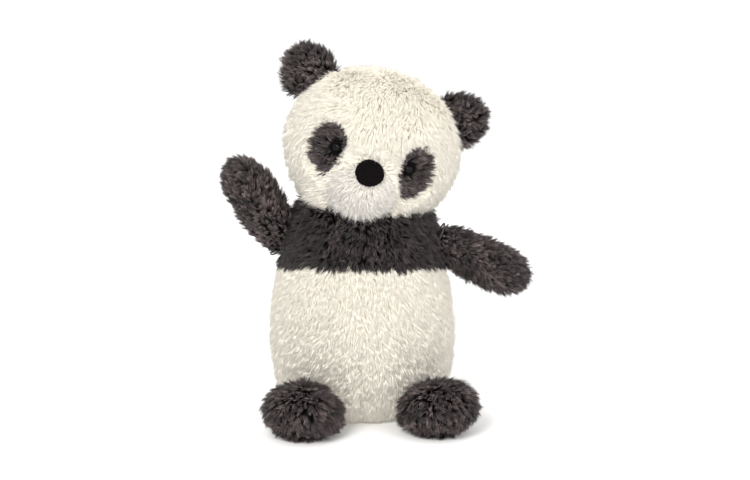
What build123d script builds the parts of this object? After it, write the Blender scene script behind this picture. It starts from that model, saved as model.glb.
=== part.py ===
from build123d import *
import os
from math import sin, cos, radians

# Seated plush panda, about 22 cm tall, in millimetres.
# Frame: +Z up, the face looks along -Y, the toy's left hand side is +X.
# Origin: centre of the flat base it sits on.
# Each plush panel is as thick as its backing and mean pile together, so its
# outside is the mean height of the fur and its inside faces the stuffing.

os.makedirs("parts", exist_ok=True)

# ---- general ----------------------------------------------------------------
PILE = 5.0             # backing fabric plus pile, mean thickness of a body panel
GAP = 0.3              # space left open between neighbouring pieces
THREAD_R = 0.5         # sewing thread round the limb roots

# ---- torso ------------------------------------------------------------------
BASE_R, BASE_T = 33.0, 3.0       # base panel radius and thickness
BASE_EDGE_R = 0.8                # rounding of its upper edge
# outline from the base to the neck, three arcs of (radius, height)
TORSO_FOOT = [(37.0, 0.0), (46.4, 8.6)]      # this arc ends where the side starts
TORSO_SIDE = [(51.0, 23.0), (53.2, 48.6), (47.4, 88.4)]
TORSO_TOP = [(47.4, 88.4), (43.4, 108.4), (34.4, 128.4)]
FLOOR_Z = 4.2                    # floor of the torso's hollow
HOLLOW_FOOT = [(37.0, FLOOR_Z), (41.9, 10.6)]
STUFFING_FOOT = [(36.6, 4.6), (41.5, 10.9)]
BAND_Z = 86.4          # height of the chest band's lower seam at the sides
BAND_SLOPE = 12.5      # the seam rises towards the front, degrees

POUCH_Z, POUCH_R, POUCH_H, POUCH_T = 21.0, 31.0, 12.0, 0.8   # H is the half height
POUCH_SLIT = (14, 1.6)           # filling slit, length and width
BEAN_R = 2.7
BEAN_LOW_Z = POUCH_Z - 6.6
BEAN_MID_Z = POUCH_Z - 0.4
# height, ring radius, number of beans
BEAN_RINGS = [
    (BEAN_LOW_Z, 11.5, 8),
    (BEAN_MID_Z, 24.0, 18),
    (BEAN_MID_Z, 16.0, 12),
    (BEAN_MID_Z, 8.0, 5),
]

CLOSING_COUNT, CLOSING_Z, CLOSING_PITCH = 9, 39.4, 3.6   # stitches up the back seam
CLOSING_R, CLOSING_LEN = 0.45, 4.0
CLOSING_PEAK_Y, CLOSING_PEAK_Z, CLOSING_BEND = 53.85, 46, 0.0026   # parabola they follow

# ---- neck -------------------------------------------------------------------
NECK_P = (2.0, -4.0, 146.0)      # neck pivot
# dish in the top of the torso that the head rolls in: radius, height
DISH = [(0.0, 113.3), (28.0, 117.0), (50.0, 135.0)]
DISH_TOP_Z = 160
NECK_BALL_R = 13.5
NECK_RING_R, NECK_RING_Z = 14.6, -4.6        # gathering thread, height from the pivot
NECK_THREAD_R = 0.7

# ---- head; places are in its own upright frame unless noted --------------------
HEAD_A, HEAD_B = 49.5, 42.5      # head half width, half height and depth
HEAD_C = (5.9, -4.0, 158.4)      # head centre in the toy's frame
TILT = 17.4                      # resting lean of the head to its left, degrees
FACE_Y = 6.0                     # seam between face and back of the head
NECK_OPENING_R = 20.0
NECK_POCKET_R, NECK_POCKET_Z = 17.2, -13.0
HEAD_FILL_X = 13.0               # the stuffing's side lobes stand this far out

MUZZLE_C = (0.0, -24.5, -13.0)
MUZZLE_R = 21.5
MUZZLE_BACK = 12                 # the muzzle ends this far in front of the head centre

NOSE_C = (0.6, -46.6, -6.2)
NOSE_A, NOSE_B, NOSE_T = 8.5, 7.8, 4.2       # half width, half height, thickness
NOSE_SINK = 1.2                  # back of the nose, behind its centre point
NOSE_ROOM_SINK = 2.0             # bottom of the seat for it in the muzzle
NOSE_EDGE_R = 2.4
NOSE_RIM, NOSE_FRONT = 0.9, 2.6  # cover thickness at the rim and in front
NOSE_RING_R, NOSE_RING_COUNT = 7.4, 22       # stitches behind the nose
NOSE_STITCH_R, NOSE_STITCH_LEN, NOSE_STITCH_SINK = 0.3, 0.5, 1.85

EYE_X, EYE_Y, EYE_Z, EYE_R = 21.4, -38.0, 1.4, 2.6
EYE_N = (0.37, -0.93, 0.03)      # the way the left eye looks
EYE_H, EYE_BULGE_H = 2.3, 1.62   # bead height at its centre and part way out
EYE_FLAT_DEPTH = 8.4             # flat on the stuffing, behind the shank's end
SHANK_R, SHANK_L = 1.0, 8.0
WASHER_R, WASHER_T, WASHER_DEPTH = 4.5, 1.0, 6.2
PATCH_C, PATCH_A, PATCH_B, PATCH_LEAN = (27.6, 1.4), 10.6, 15.4, -8.0   # oval eye patch

EAR_R, EAR_T = 17.0, 7.0         # ear disc radius and thickness
EAR_EDGE_R = 2.6
EAR_C = {"left": (43.8, 8.0, 27.6), "right": (-47.2, 8.0, 29.0)}
EAR_CLEAR = 1.7                  # the sewn edge stands this far off the head's pile

# ---- arms -------------------------------------------------------------------
SHOULDER_X, SHOULDER_Y, SHOULDER_Z = 46.5, -1.0, 100.4
SHOULDER_SOCKET_R = 12.8
ARM_UP_RIGHT = 58.4              # right arm's resting angle above level
ARM_DOWN_LEFT = 25.7             # left arm's resting angle below level
# outlines: distance from the shoulder, radius; the first radius is also the
# radius of the ball at the root
ARM_OUTSIDE = [(0, 9.0), (10, 9.5), (22, 10.9), (36, 11.9), (46, 10.9), (53.5, 6.8), (57.0, 0)]
ARM_HOLLOW = [(0, 5.2), (10, 5.6), (22, 7.0), (36, 8.0), (44.2, 7.2), (49.9, 4.4), (52.4, 0)]
ARM_STUFFING = [(0, 4.9), (10, 5.3), (22, 6.7), (36, 7.7), (44, 6.9), (49.5, 4.2), (52, 0)]
COS_45 = 0.7071
ARM_RING_X, ARM_RING_R = -2.6, 10.2          # thread ring: place along the arm, radius

# ---- feet -------------------------------------------------------------------
FOOT_R, FOOT_H = 22.0, 15.4      # foot radius in plan, half height
FOOT_WALL = 4.6
FOOT_X, FOOT_Y, FOOT_Z = 34.0, -64.5, 14.2
FOOT_ROLL = 9.0                  # outer end of each foot is higher, degrees
FOOT_TURN = 9.7                  # the left leg is splayed out by this turn about the torso
FOOT_FLOOR_Z = 3.4               # floor of the foot's hollow
SOLE_SEAM_Z = 6.0
HEEL_X, HEEL_Y, HEEL_Z, HEEL_R = 29.0, -41.0, 15.0, 8.5
HEEL_NECK_L = 12                 # round neck from the heel into the foot
HEEL_SOCKET_R = 11.6
HEEL_RING_Y, HEEL_RING_R = 2.6, 9.6          # thread ring: place behind the heel centre, radius

# ---- places worked out from the sizes ------------------------------------------
head_at = Location(HEAD_C, (0, TILT, 0))
foot_at = Location((FOOT_X, FOOT_Y, FOOT_Z), (0, -FOOT_ROLL, 0))
foot_turned = Location((0, 0, 0), (0, 0, FOOT_TURN))

shoulder_left = (SHOULDER_X, SHOULDER_Y, SHOULDER_Z)
shoulder_right = (-SHOULDER_X, SHOULDER_Y, SHOULDER_Z)
turn_cos, turn_sin = cos(radians(FOOT_TURN)), sin(radians(FOOT_TURN))
heel_plain = (HEEL_X, HEEL_Y, HEEL_Z)        # left heel before the leg is splayed
heel_left = (
    HEEL_X * turn_cos - HEEL_Y * turn_sin,
    HEEL_X * turn_sin + HEEL_Y * turn_cos,
    HEEL_Z,
)
heel_right = (-HEEL_X, HEEL_Y, HEEL_Z)


# ---- shared helpers -----------------------------------------------------------
def save(name, part):
    part.label = name
    export_step(part, f"parts/{name}.step")


def placed(part, location):
    with BuildPart() as moved:
        with Locations(location):
            add(part)
    return moved.part


def mirrored(part):
    """The same piece on the other side of the toy, or of the upright head."""
    with BuildPart() as other:
        add(part)
        mirror(about=Plane.YZ, mode=Mode.REPLACE)
    return other.part


def seam(plane):
    """The two sides of a seam, as (cutting plane, side kept); the normal's side first."""
    return (plane.offset(GAP / 2), Keep.TOP), (plane.offset(-GAP / 2), Keep.BOTTOM)


def cut(part, *sides):
    """What is left of a part after splitting it at each (plane, side kept) in turn."""
    with BuildPart() as panel:
        add(part)
        for plane, keep in sides:
            split(bisect_by=plane, keep=keep)
    return panel.part


def flat_ellipsoid(radius, half_height, z=0):
    """Ellipsoid that is round in plan, centred at height z."""
    with BuildPart() as form:
        with BuildSketch(Plane.XZ):
            with Locations((0, z)):
                Ellipse(radius, half_height)
                Rectangle(80, 60, align=(Align.MAX, Align.CENTER), mode=Mode.SUBTRACT)
        revolve(axis=Axis.Z, revolution_arc=180)
        mirror(about=Plane.XZ)
    return form.part


def thread_ring(plane, along, ring_r, thread_r):
    """Ring of thread round the plane's x axis."""
    with BuildPart() as ring:
        with BuildSketch(plane):
            with Locations((along, ring_r)):
                Circle(thread_r)
        revolve(axis=Axis(plane.origin, plane.x_dir))
    return ring.part


FRONT, BACK = seam(Plane.XZ)
LEFT, RIGHT = seam(Plane.YZ)


# ---- torso: the closed forms the panels are cut from ---------------------------
def torso_form(foot, inset):
    """Solid torso, its side and top drawn in by inset, on its own foot arc."""
    side = [(r - inset, z) for r, z in TORSO_SIDE]
    top = [(r - inset, z) for r, z in TORSO_TOP]
    with BuildPart() as form:
        with BuildSketch(Plane.XZ):
            with BuildLine():
                ThreePointArc(foot[0], foot[1], side[0])
                ThreePointArc(*side)
                ThreePointArc(*top)
                Polyline(top[2], (0, top[2][1]), (0, foot[0][1]), foot[0])
            make_face()
        revolve(axis=Axis.Z, revolution_arc=180)
        mirror(about=Plane.XZ)
    return form.part


with BuildPart() as neck_dish:
    with BuildSketch(Plane.XZ.offset(-NECK_P[1])):
        with BuildLine():
            ThreePointArc(*[(NECK_P[0] + r, z) for r, z in DISH])
            Polyline(
                (NECK_P[0] + DISH[2][0], DISH[2][1]),
                (NECK_P[0] + DISH[2][0], DISH_TOP_Z),
                (NECK_P[0], DISH_TOP_Z),
                (NECK_P[0], DISH[0][1]),
            )
        make_face()
    revolve(axis=Axis((NECK_P[0], NECK_P[1], 0), (0, 0, 1)))


def with_sockets(form):
    """Takes the neck dish and the four limb sockets out of a torso form."""
    with BuildPart() as hollowed:
        add(form)
        add(neck_dish.part, mode=Mode.SUBTRACT)
        with Locations(shoulder_left, shoulder_right):
            Sphere(SHOULDER_SOCKET_R, mode=Mode.SUBTRACT)
        with Locations(heel_left, heel_right):
            Sphere(HEEL_SOCKET_R, mode=Mode.SUBTRACT)
    return hollowed.part


with BuildPart() as torso_wall:
    add(torso_form(TORSO_FOOT, 0))
    add(torso_form(HOLLOW_FOOT, PILE), mode=Mode.SUBTRACT)

with BuildPart() as torso_shell:
    add(with_sockets(torso_wall.part))
    # the base panel is let into the underside
    with BuildSketch(Plane.XY.offset(-1)):
        Circle(BASE_R + GAP)
    extrude(amount=1 + FLOOR_Z, mode=Mode.SUBTRACT)
    split(bisect_by=Plane.XY.offset(GAP), keep=Keep.TOP)


# ---- torso panels -------------------------------------------------------------
def band_plane(height):
    slope = radians(BAND_SLOPE)
    return Plane(origin=(0, 0, height), x_dir=(1, 0, 0), z_dir=(0, sin(slope), cos(slope)))


CHEST = (band_plane(BAND_Z + GAP / 2), Keep.TOP)
BELLY = (band_plane(BAND_Z - GAP / 2), Keep.BOTTOM)

save("chest_panel_front", cut(torso_shell.part, CHEST, FRONT))
save("chest_panel_back", cut(torso_shell.part, CHEST, BACK))
save("belly_panel_front_left", cut(torso_shell.part, BELLY, FRONT, LEFT))
save("belly_panel_front_right", cut(torso_shell.part, BELLY, FRONT, RIGHT))
belly_back_left = cut(torso_shell.part, BELLY, BACK, LEFT)
save("belly_panel_back_left", belly_back_left)
save("belly_panel_back_right", mirrored(belly_back_left))

with BuildPart() as base_panel:
    with BuildSketch(Plane.XY):
        Circle(BASE_R)
    extrude(amount=BASE_T)
    fillet(base_panel.edges().group_by(Axis.Z)[-1], radius=BASE_EDGE_R)
save("base_panel", base_panel.part)

# ---- inside the torso ---------------------------------------------------------
with BuildPart() as bean_pouch:
    with BuildSketch(Plane.XZ):
        with Locations((0, POUCH_Z)):
            Ellipse(POUCH_R, POUCH_H)
            Ellipse(POUCH_R - POUCH_T, POUCH_H - POUCH_T, mode=Mode.SUBTRACT)
            Rectangle(80, 60, align=(Align.MAX, Align.CENTER), mode=Mode.SUBTRACT)
    revolve(axis=Axis.Z, revolution_arc=180)
    mirror(about=Plane.XZ)
    # filling slit in the top
    with BuildSketch(Plane.XY.offset(POUCH_Z)):
        SlotOverall(*POUCH_SLIT)
    extrude(amount=POUCH_H + 2, mode=Mode.SUBTRACT)
save("bean_pouch", bean_pouch.part)

with BuildPart() as bean_pellets:
    for bean_z, ring_r, count in BEAN_RINGS:
        with Locations((0, 0, bean_z)):
            with PolarLocations(ring_r, count):
                Sphere(BEAN_R)
    with Locations((0, 0, BEAN_LOW_Z)):
        Sphere(BEAN_R)
save("bean_pellets", bean_pellets.part)

with BuildPart() as torso_stuffing:
    add(with_sockets(torso_form(STUFFING_FOOT, PILE + GAP)))
    add(flat_ellipsoid(POUCH_R + GAP, POUCH_H + GAP, POUCH_Z), mode=Mode.SUBTRACT)
save("torso_stuffing", torso_stuffing.part)

# ladder stitches that close the stuffing opening in the back seam
with BuildPart() as back_closing_stitches:
    for i in range(CLOSING_COUNT):
        z = CLOSING_Z + CLOSING_PITCH * i
        y = CLOSING_PEAK_Y - CLOSING_BEND * (z - CLOSING_PEAK_Z) ** 2
        with BuildSketch(Plane.YZ.offset(-CLOSING_LEN / 2)):
            with Locations((y, z)):
                Circle(CLOSING_R)
        extrude(amount=CLOSING_LEN)
save("back_closing_stitches", back_closing_stitches.part)

# ---- neck ---------------------------------------------------------------------
with BuildPart() as neck_stuffing:
    with Locations(NECK_P):
        Sphere(NECK_BALL_R)
save("neck_stuffing", neck_stuffing.part)

neck_plane = Plane(origin=NECK_P, x_dir=(0, 0, 1), z_dir=(0, 1, 0))
save("neck_gathering_thread", thread_ring(neck_plane, NECK_RING_Z, NECK_RING_R, NECK_THREAD_R))


# ---- head: pieces are drawn upright round its centre and then leaned -------------
def save_leaned(name, upright):
    save(name, placed(upright, head_at))


def save_leaned_pair(stem, left_upright):
    save_leaned(f"{stem}_left", left_upright)
    save_leaned(f"{stem}_right", mirrored(left_upright))


def head_form(grow):
    """The head's ellipsoid, grown by an amount all round."""
    with BuildPart() as form:
        with BuildSketch(Plane.XZ):
            Ellipse(HEAD_A + grow, HEAD_B + grow)
            Rectangle(140, 70, align=(Align.CENTER, Align.MAX), mode=Mode.SUBTRACT)
        revolve(axis=Axis.X, revolution_arc=180)
        mirror(about=Plane.XZ)
    return form.part


head_inner = head_form(-PILE)

with BuildPart() as head_shell:
    add(head_form(0))
    add(head_inner, mode=Mode.SUBTRACT)
    with Locations(MUZZLE_C):
        Sphere(MUZZLE_R + GAP, mode=Mode.SUBTRACT)
    # neck opening at the bottom
    with BuildSketch(Plane.XY.offset(-HEAD_B - 2)):
        Circle(NECK_OPENING_R)
    extrude(amount=14, mode=Mode.SUBTRACT)

FACE, HEAD_BACK = seam(Plane.XZ.offset(-FACE_Y))
face_half = cut(head_shell.part, FACE, LEFT)
save_leaned_pair("head_panel_back", cut(head_shell.part, HEAD_BACK, LEFT))


def patch_prism(clearance):
    """Oval prism through the left of the face, along -Y."""
    with BuildPart() as prism:
        with BuildSketch(Plane.XZ):
            with Locations(Location((PATCH_C[0], PATCH_C[1], 0), (0, 0, PATCH_LEAN))):
                Ellipse(PATCH_A + clearance, PATCH_B + clearance)
        extrude(amount=60)
    return prism.part


def eye_plane(side):
    """Plane at the foot of an eye's bead, facing outwards; side is 1 left, -1 right."""
    return Plane(
        origin=(side * EYE_X, EYE_Y, EYE_Z),
        x_dir=(0, 0, 1),
        z_dir=(side * EYE_N[0], EYE_N[1], EYE_N[2]),
    )


with BuildPart() as face_panel:
    add(face_half)
    add(patch_prism(GAP), mode=Mode.SUBTRACT)
save_leaned_pair("face_panel", face_panel.part)

with BuildPart() as eye_patch:
    add(face_half)
    add(patch_prism(0), mode=Mode.INTERSECT)
    # bore for the shank
    with BuildSketch(eye_plane(1).offset(-14)):
        Circle(SHANK_R + GAP)
    extrude(amount=20, mode=Mode.SUBTRACT)
    # room for the bead
    with BuildSketch(eye_plane(1).offset(-0.6)):
        Circle(EYE_R + 0.4)
    extrude(amount=12, mode=Mode.SUBTRACT)
save_leaned_pair("eye_patch", eye_patch.part)

# ---- muzzle and head stuffing ---------------------------------------------------
nose_plane = Plane(origin=NOSE_C, x_dir=(1, 0, 0), z_dir=(0, -1, 0))

# the muzzle's skin, where it stands out of the head's inside
with BuildPart() as muzzle_panel:
    with Locations(MUZZLE_C):
        Sphere(MUZZLE_R)
        Sphere(MUZZLE_R - PILE, mode=Mode.SUBTRACT)
    add(head_inner, mode=Mode.SUBTRACT)
    # seat for the nose
    with BuildSketch(nose_plane.offset(-NOSE_ROOM_SINK)):
        Ellipse(NOSE_A + GAP, NOSE_B + GAP)
    extrude(amount=12, mode=Mode.SUBTRACT)
    split(bisect_by=Plane.XZ.offset(MUZZLE_BACK), keep=Keep.TOP)
save_leaned("muzzle_panel", muzzle_panel.part)

with BuildPart() as muzzle_stuffing:
    with Locations(MUZZLE_C):
        Sphere(MUZZLE_R - PILE - GAP)
    add(head_inner, mode=Mode.SUBTRACT)
    split(bisect_by=Plane.XZ.offset(MUZZLE_BACK), keep=Keep.TOP)
save_leaned("muzzle_stuffing", muzzle_stuffing.part)

with BuildPart() as head_stuffing:
    Sphere(HEAD_B - PILE - GAP)
    with Locations((HEAD_FILL_X, 0, 0), (-HEAD_FILL_X, 0, 0)):
        Sphere(HEAD_A - PILE - GAP - HEAD_FILL_X - 0.1)
    with Locations((0, 0, NECK_POCKET_Z)):
        Sphere(NECK_POCKET_R, mode=Mode.SUBTRACT)
    # flats behind the eyes
    for side in (1, -1):
        split(bisect_by=eye_plane(side).offset(-EYE_FLAT_DEPTH), keep=Keep.BOTTOM)
save_leaned("head_stuffing", head_stuffing.part)

# ---- eyes: a bead with its shank, held by a washer inside the head ---------------
with BuildPart() as eye:
    with BuildSketch(Plane.XZ):
        with BuildLine():
            Polyline((0, EYE_H), (0, -SHANK_L), (SHANK_R, -SHANK_L), (SHANK_R, 0), (EYE_R, 0))
            ThreePointArc((EYE_R, 0), (EYE_R * 0.76, EYE_BULGE_H), (0, EYE_H))
        make_face()
    revolve(axis=Axis.Z, revolution_arc=180)
    mirror(about=Plane.XZ)
save_leaned_pair("eye", placed(eye.part, eye_plane(1).location))

with BuildPart() as washer:
    with BuildSketch(Plane.XY.offset(-WASHER_DEPTH)):
        Circle(WASHER_R)
        Circle(SHANK_R + 0.1, mode=Mode.SUBTRACT)
    extrude(amount=-WASHER_T)
save_leaned_pair("eye_washer", placed(washer.part, eye_plane(1).location))

# ---- nose ---------------------------------------------------------------------
with BuildPart() as nose_cover:
    with BuildSketch(nose_plane.offset(-NOSE_SINK)):
        Ellipse(NOSE_A, NOSE_B)
    extrude(amount=NOSE_T)
    fillet(nose_cover.edges().sort_by(Axis.Y)[0], radius=NOSE_EDGE_R)
    # hollow for the padding, open at the back
    with BuildSketch(nose_plane.offset(-NOSE_SINK)):
        Ellipse(NOSE_A - NOSE_RIM, NOSE_B - NOSE_RIM)
    extrude(amount=NOSE_T - NOSE_FRONT, mode=Mode.SUBTRACT)
save_leaned("nose_cover", nose_cover.part)

with BuildPart() as nose_padding:
    with BuildSketch(nose_plane.offset(-NOSE_SINK)):
        Ellipse(NOSE_A - NOSE_RIM - GAP, NOSE_B - NOSE_RIM - GAP)
    extrude(amount=NOSE_T - NOSE_FRONT - GAP)
save_leaned("nose_padding", nose_padding.part)

with BuildPart() as nose_stitches:
    with BuildSketch(nose_plane.offset(-NOSE_STITCH_SINK)):
        with PolarLocations(NOSE_RING_R, NOSE_RING_COUNT):
            Circle(NOSE_STITCH_R)
    extrude(amount=NOSE_STITCH_LEN)
save_leaned("nose_stitches", nose_stitches.part)

# ---- ears: two flat panels each, sewn to the head along their lower edge ----------
ear_seat = head_form(EAR_CLEAR)


def ear_form(centre):
    x, y, z = centre
    with BuildPart() as ear:
        with BuildSketch(Plane.XZ.offset(-y - EAR_T / 2)):
            with Locations((x, z)):
                Circle(EAR_R)
        extrude(amount=EAR_T)
        fillet(ear.edges().filter_by(GeomType.CIRCLE), radius=EAR_EDGE_R)
        add(ear_seat, mode=Mode.SUBTRACT)
    return ear.part


for side, centre in EAR_C.items():
    ear = ear_form(centre)
    ear_front, ear_back = seam(Plane.XZ.offset(-centre[1]))
    save_leaned(f"ear_{side}_front", cut(ear, ear_front))
    save_leaned(f"ear_{side}_back", cut(ear, ear_back))


# ---- arms: a ball end in the shoulder, swelling to a round paw --------------------
def arm_solid(plane, outline):
    """Outline turned about the plane's x axis, with a ball at the root."""
    root_r = outline[0][1]
    with BuildPart() as arm:
        with BuildSketch(plane):
            with BuildLine():
                ThreePointArc((-root_r, 0), (-root_r * COS_45, root_r * COS_45), (0, root_r))
                Spline(outline, tangents=[(1, 0), (0, -1)])
                Line((outline[-1][0], 0), (-root_r, 0))
            make_face()
        revolve(axis=Axis(plane.origin, plane.x_dir))
    return arm.part


def save_arm(side, shoulder, outward, rise):
    """One arm; outward is the sign of its x direction, rise its angle above level."""
    angle = radians(rise)
    plane = Plane(
        origin=shoulder,
        x_dir=(outward * cos(angle), 0, sin(angle)),
        z_dir=(0, -1, 0),
    )
    with BuildPart() as shell:
        add(arm_solid(plane, ARM_OUTSIDE))
        add(arm_solid(plane, ARM_HOLLOW), mode=Mode.SUBTRACT)
    arm_front, arm_back = seam(plane)
    save(f"arm_{side}_front", cut(shell.part, arm_front))
    save(f"arm_{side}_back", cut(shell.part, arm_back))
    save(f"arm_{side}_stuffing", arm_solid(plane, ARM_STUFFING))
    ring = thread_ring(plane, ARM_RING_X, ARM_RING_R, THREAD_R)
    save(f"shoulder_stitches_{side}", ring)


save_arm("left", shoulder_left, 1, -ARM_DOWN_LEFT)
save_arm("right", shoulder_right, -1, ARM_UP_RIGHT)


# ---- feet: flattened cushions on a ball heel that sits in the belly ---------------
# Drawn as the left foot before it is splayed; the right one is its mirror image.
def foot_cushion(inset):
    return placed(flat_ellipsoid(FOOT_R - inset, FOOT_H - inset), foot_at)


def save_feet(stem, plain):
    save(f"foot_left_{stem}", placed(plain, foot_turned))
    save(f"foot_right_{stem}", mirrored(plain))


foot_hollow = cut(foot_cushion(FOOT_WALL), (Plane.XY.offset(FOOT_FLOOR_Z), Keep.TOP))

with BuildPart() as foot_shell:
    add(foot_cushion(0))
    with BuildSketch(Plane(origin=heel_plain, z_dir=(0, -1, 0))):
        Circle(HEEL_R)
    extrude(amount=HEEL_NECK_L)
    with Locations(heel_plain):
        Sphere(HEEL_R)
    # flat on the ground
    split(bisect_by=Plane.XY, keep=Keep.TOP)
    add(foot_hollow, mode=Mode.SUBTRACT)

# the sole seam runs round the foot a little above the ground
roll = radians(FOOT_ROLL)
UPPER, SOLE = seam(Plane(
    origin=(FOOT_X, FOOT_Y, SOLE_SEAM_Z),
    x_dir=(cos(roll), 0, sin(roll)),
    z_dir=(-sin(roll), 0, cos(roll)),
))
save_feet("upper", cut(foot_shell.part, UPPER))
save_feet("sole", cut(foot_shell.part, SOLE))

foot_fill_floor = (Plane.XY.offset(FOOT_FLOOR_Z + GAP), Keep.TOP)
save_feet("stuffing", cut(foot_cushion(FOOT_WALL + GAP), foot_fill_floor))

heel_plane = Plane(origin=heel_plain, x_dir=(0, 1, 0), z_dir=(1, 0, 0))
save_feet("stitches", thread_ring(heel_plane, HEEL_RING_Y, HEEL_RING_R, THREAD_R))
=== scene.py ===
"""A seated plush toy: cream body and head, white muzzle, charcoal ears, eye patches, chest and limbs.

Working units are millimetres; meshes are stored in metres. +Z is up and the floor is at z = 0.
The toy faces -Y and its own left is +X. The head has its own frame, centred on HEAD_C and
tilted towards +X. Each sewn skin is padded into shape, then covered in pile, panel by panel.
"""
import math

import bmesh
import bpy
import numpy as np
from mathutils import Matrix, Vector, kdtree, noise


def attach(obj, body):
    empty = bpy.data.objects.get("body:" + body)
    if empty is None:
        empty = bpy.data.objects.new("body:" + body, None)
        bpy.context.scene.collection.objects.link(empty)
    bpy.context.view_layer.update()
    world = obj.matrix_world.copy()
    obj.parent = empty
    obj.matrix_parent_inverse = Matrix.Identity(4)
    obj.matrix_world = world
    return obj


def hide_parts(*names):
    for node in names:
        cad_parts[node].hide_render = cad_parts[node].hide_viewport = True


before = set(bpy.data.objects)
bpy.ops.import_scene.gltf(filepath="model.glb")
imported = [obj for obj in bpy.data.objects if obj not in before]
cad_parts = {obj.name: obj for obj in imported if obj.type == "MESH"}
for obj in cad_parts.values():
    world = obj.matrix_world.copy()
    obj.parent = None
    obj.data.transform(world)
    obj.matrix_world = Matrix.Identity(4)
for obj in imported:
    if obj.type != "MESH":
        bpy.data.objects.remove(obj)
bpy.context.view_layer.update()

MM = 0.001
rng = np.random.default_rng(20417)     # shared by everything that scatters or thins the tufts
scene = bpy.context.scene


# ---------------------------------------------------------------- small maths
def unit(v):
    return v / np.maximum(np.linalg.norm(v, axis=-1, keepdims=True), 1e-9)


def smooth(x, start, end):
    """Eases from 0 at start to 1 at end."""
    t = np.clip((x - start) / (end - start), 0, 1)
    return t * t * (3 - 2 * t)


def bell(distance, width):
    """1 at distance 0, fading to nothing over about twice the width."""
    return np.exp(-((distance / width) ** 2))


def turn_z(v, angle):
    c, s = math.cos(angle), math.sin(angle)
    x, y, z = v[..., 0], v[..., 1], v[..., 2]
    return np.stack([x * c - y * s, x * s + y * c, z], -1)


def turn_y(v, angle):
    c, s = math.cos(angle), math.sin(angle)
    x, y, z = v[..., 0], v[..., 1], v[..., 2]
    return np.stack([x * c + z * s, y, -x * s + z * c], -1)


def wave(p, scale, seed):
    """Smooth three-channel noise from rotated sine waves; scale is the wavelength."""
    r = np.random.default_rng(seed)
    out = np.zeros((len(p), 3))
    for channel in range(3):
        for _ in range(5):
            d = unit(r.normal(size=3)) * (2 * math.pi / (scale * r.uniform(0.75, 1.5)))
            out[:, channel] += np.sin(p @ d + r.uniform(0, 6.28))
    return out / 2.3


def outline_distance(q, outline):
    """Signed distance from 2D points q to a closed outline, negative inside."""
    best = np.full(len(q), 1e9)
    inside = np.zeros(len(q), bool)
    for start, end in zip(outline, np.roll(outline, -1, 0)):
        edge = end - start
        offset = q - start
        t = np.clip((offset @ edge) / (edge @ edge), 0, 1)
        best = np.minimum(best, np.linalg.norm(offset - t[:, None] * edge, axis=1))
        spans = (end[1] > q[:, 1]) != (start[1] > q[:, 1])
        crossing = edge[0] * (q[:, 1] - start[1]) / edge[1] + start[0]
        inside ^= spans & (q[:, 0] < crossing)
    return np.where(inside, -best, best)


def ellipsoid_distance(q, radii):
    """Approximate signed distance to an ellipsoid at the origin, negative inside."""
    radii = np.array(radii)
    k0 = np.linalg.norm(q / radii, axis=1)
    k1 = np.linalg.norm(q / (radii * radii), axis=1)
    return k0 * (k0 - 1.0) / np.maximum(k1, 1e-9)


def blended_union(a, b, blend):
    h = np.clip(0.5 + 0.5 * (b - a) / blend, 0, 1)
    return b * (1 - h) + a * h - blend * h * (1 - h)


# ---------------------------------------------------------------- the toy's measures
SIDES = {"left": 1, "right": -1}       # sign of x on each side


def mirrored(x, y, z):
    return {side: np.array([sign * x, y, z]) for side, sign in SIDES.items()}


BACK = 2.0                             # the backing cloth lies this far under the mean pile

HEAD_C = np.array([5.9, -4.0, 158.4])
HEAD_TILT = math.radians(17.4)
# places on the head, in the head's frame
HEAD_R = (48.4, 42.0, 42.6)
SNOUT_C, SNOUT_R = np.array([0.0, -25.2, -15.6]), 19.6
HEAD_SEAM_Y = 6.0                      # the seam between the face and the back of the head
NOSE_C = np.array([0.6, -46.6, -6.2])
NOSE_RX, NOSE_RZ = 8.5, 7.8
EYE_C = mirrored(21.4, -38.0, 1.4)
EAR_C = {"left": np.array([43.8, 8.0, 27.6]), "right": np.array([-47.2, 8.0, 29.0])}
EAR_R = (15.6, 4.4, 15.6)
EAR_SEAM = 1.6                         # the ear's seam lies this far in front of its centre

SHOULDER = mirrored(46.5, -1.0, 100.4)
ARM_LIFT = {"left": math.radians(-25.7), "right": math.radians(58.4)}    # above level
ARM_DIR = {side: np.array([sign * math.cos(ARM_LIFT[side]), 0.0, math.sin(ARM_LIFT[side])])
           for side, sign in SIDES.items()}

FOOT_TURN = {"left": math.radians(9.7), "right": 0.0}      # the left leg is splayed further out
FOOT_ROLL = math.radians(9.0)
FOOT_C = {side: turn_z(c, FOOT_TURN[side]) for side, c in mirrored(34.0, -64.5, 14.2).items()}
HEEL_C = {side: turn_z(c, FOOT_TURN[side]) for side, c in mirrored(29.0, -41.0, 15.0).items()}
FOOT_R = (22.0 - BACK, 22.0 - BACK, 15.4 - BACK)
HEEL_R = 7.2
SOLE_Z = -8.2                          # height of the sole seam in the foot's frame

# the lower edge of the dark chest band, higher in front than behind
BAND_Z, BAND_SLOPE = 86.4, math.radians(12.5)

# outline of the left eye patch: x, z in the head's frame, before it is resized
PATCH_SHAPE = np.array([
    (17.3, 11.5), (20.2, 14.8), (23.8, 16.4), (27.2, 16.9), (30.4, 16.2), (33.8, 13.9),
    (36.2, 10.6), (37.9, 5.8), (38.6, 0.5), (37.6, -4.4), (35.6, -8.6), (33.2, -11.4),
    (30.2, -13.2), (27.4, -14.6), (24.8, -14.8), (22.6, -13.4), (20.8, -11.0), (18.9, -7.2),
    (17.6, -3.0), (16.8, 0.8), (16.4, 4.6), (16.5, 8.2)])
PATCH_CORNER = np.array([16.8, -15.8])      # least x and z of the resized patch
PATCH_SCALE = np.array([0.82, 0.925])
PATCH = PATCH_CORNER + (PATCH_SHAPE - PATCH_SHAPE.min(0)) * PATCH_SCALE

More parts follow.
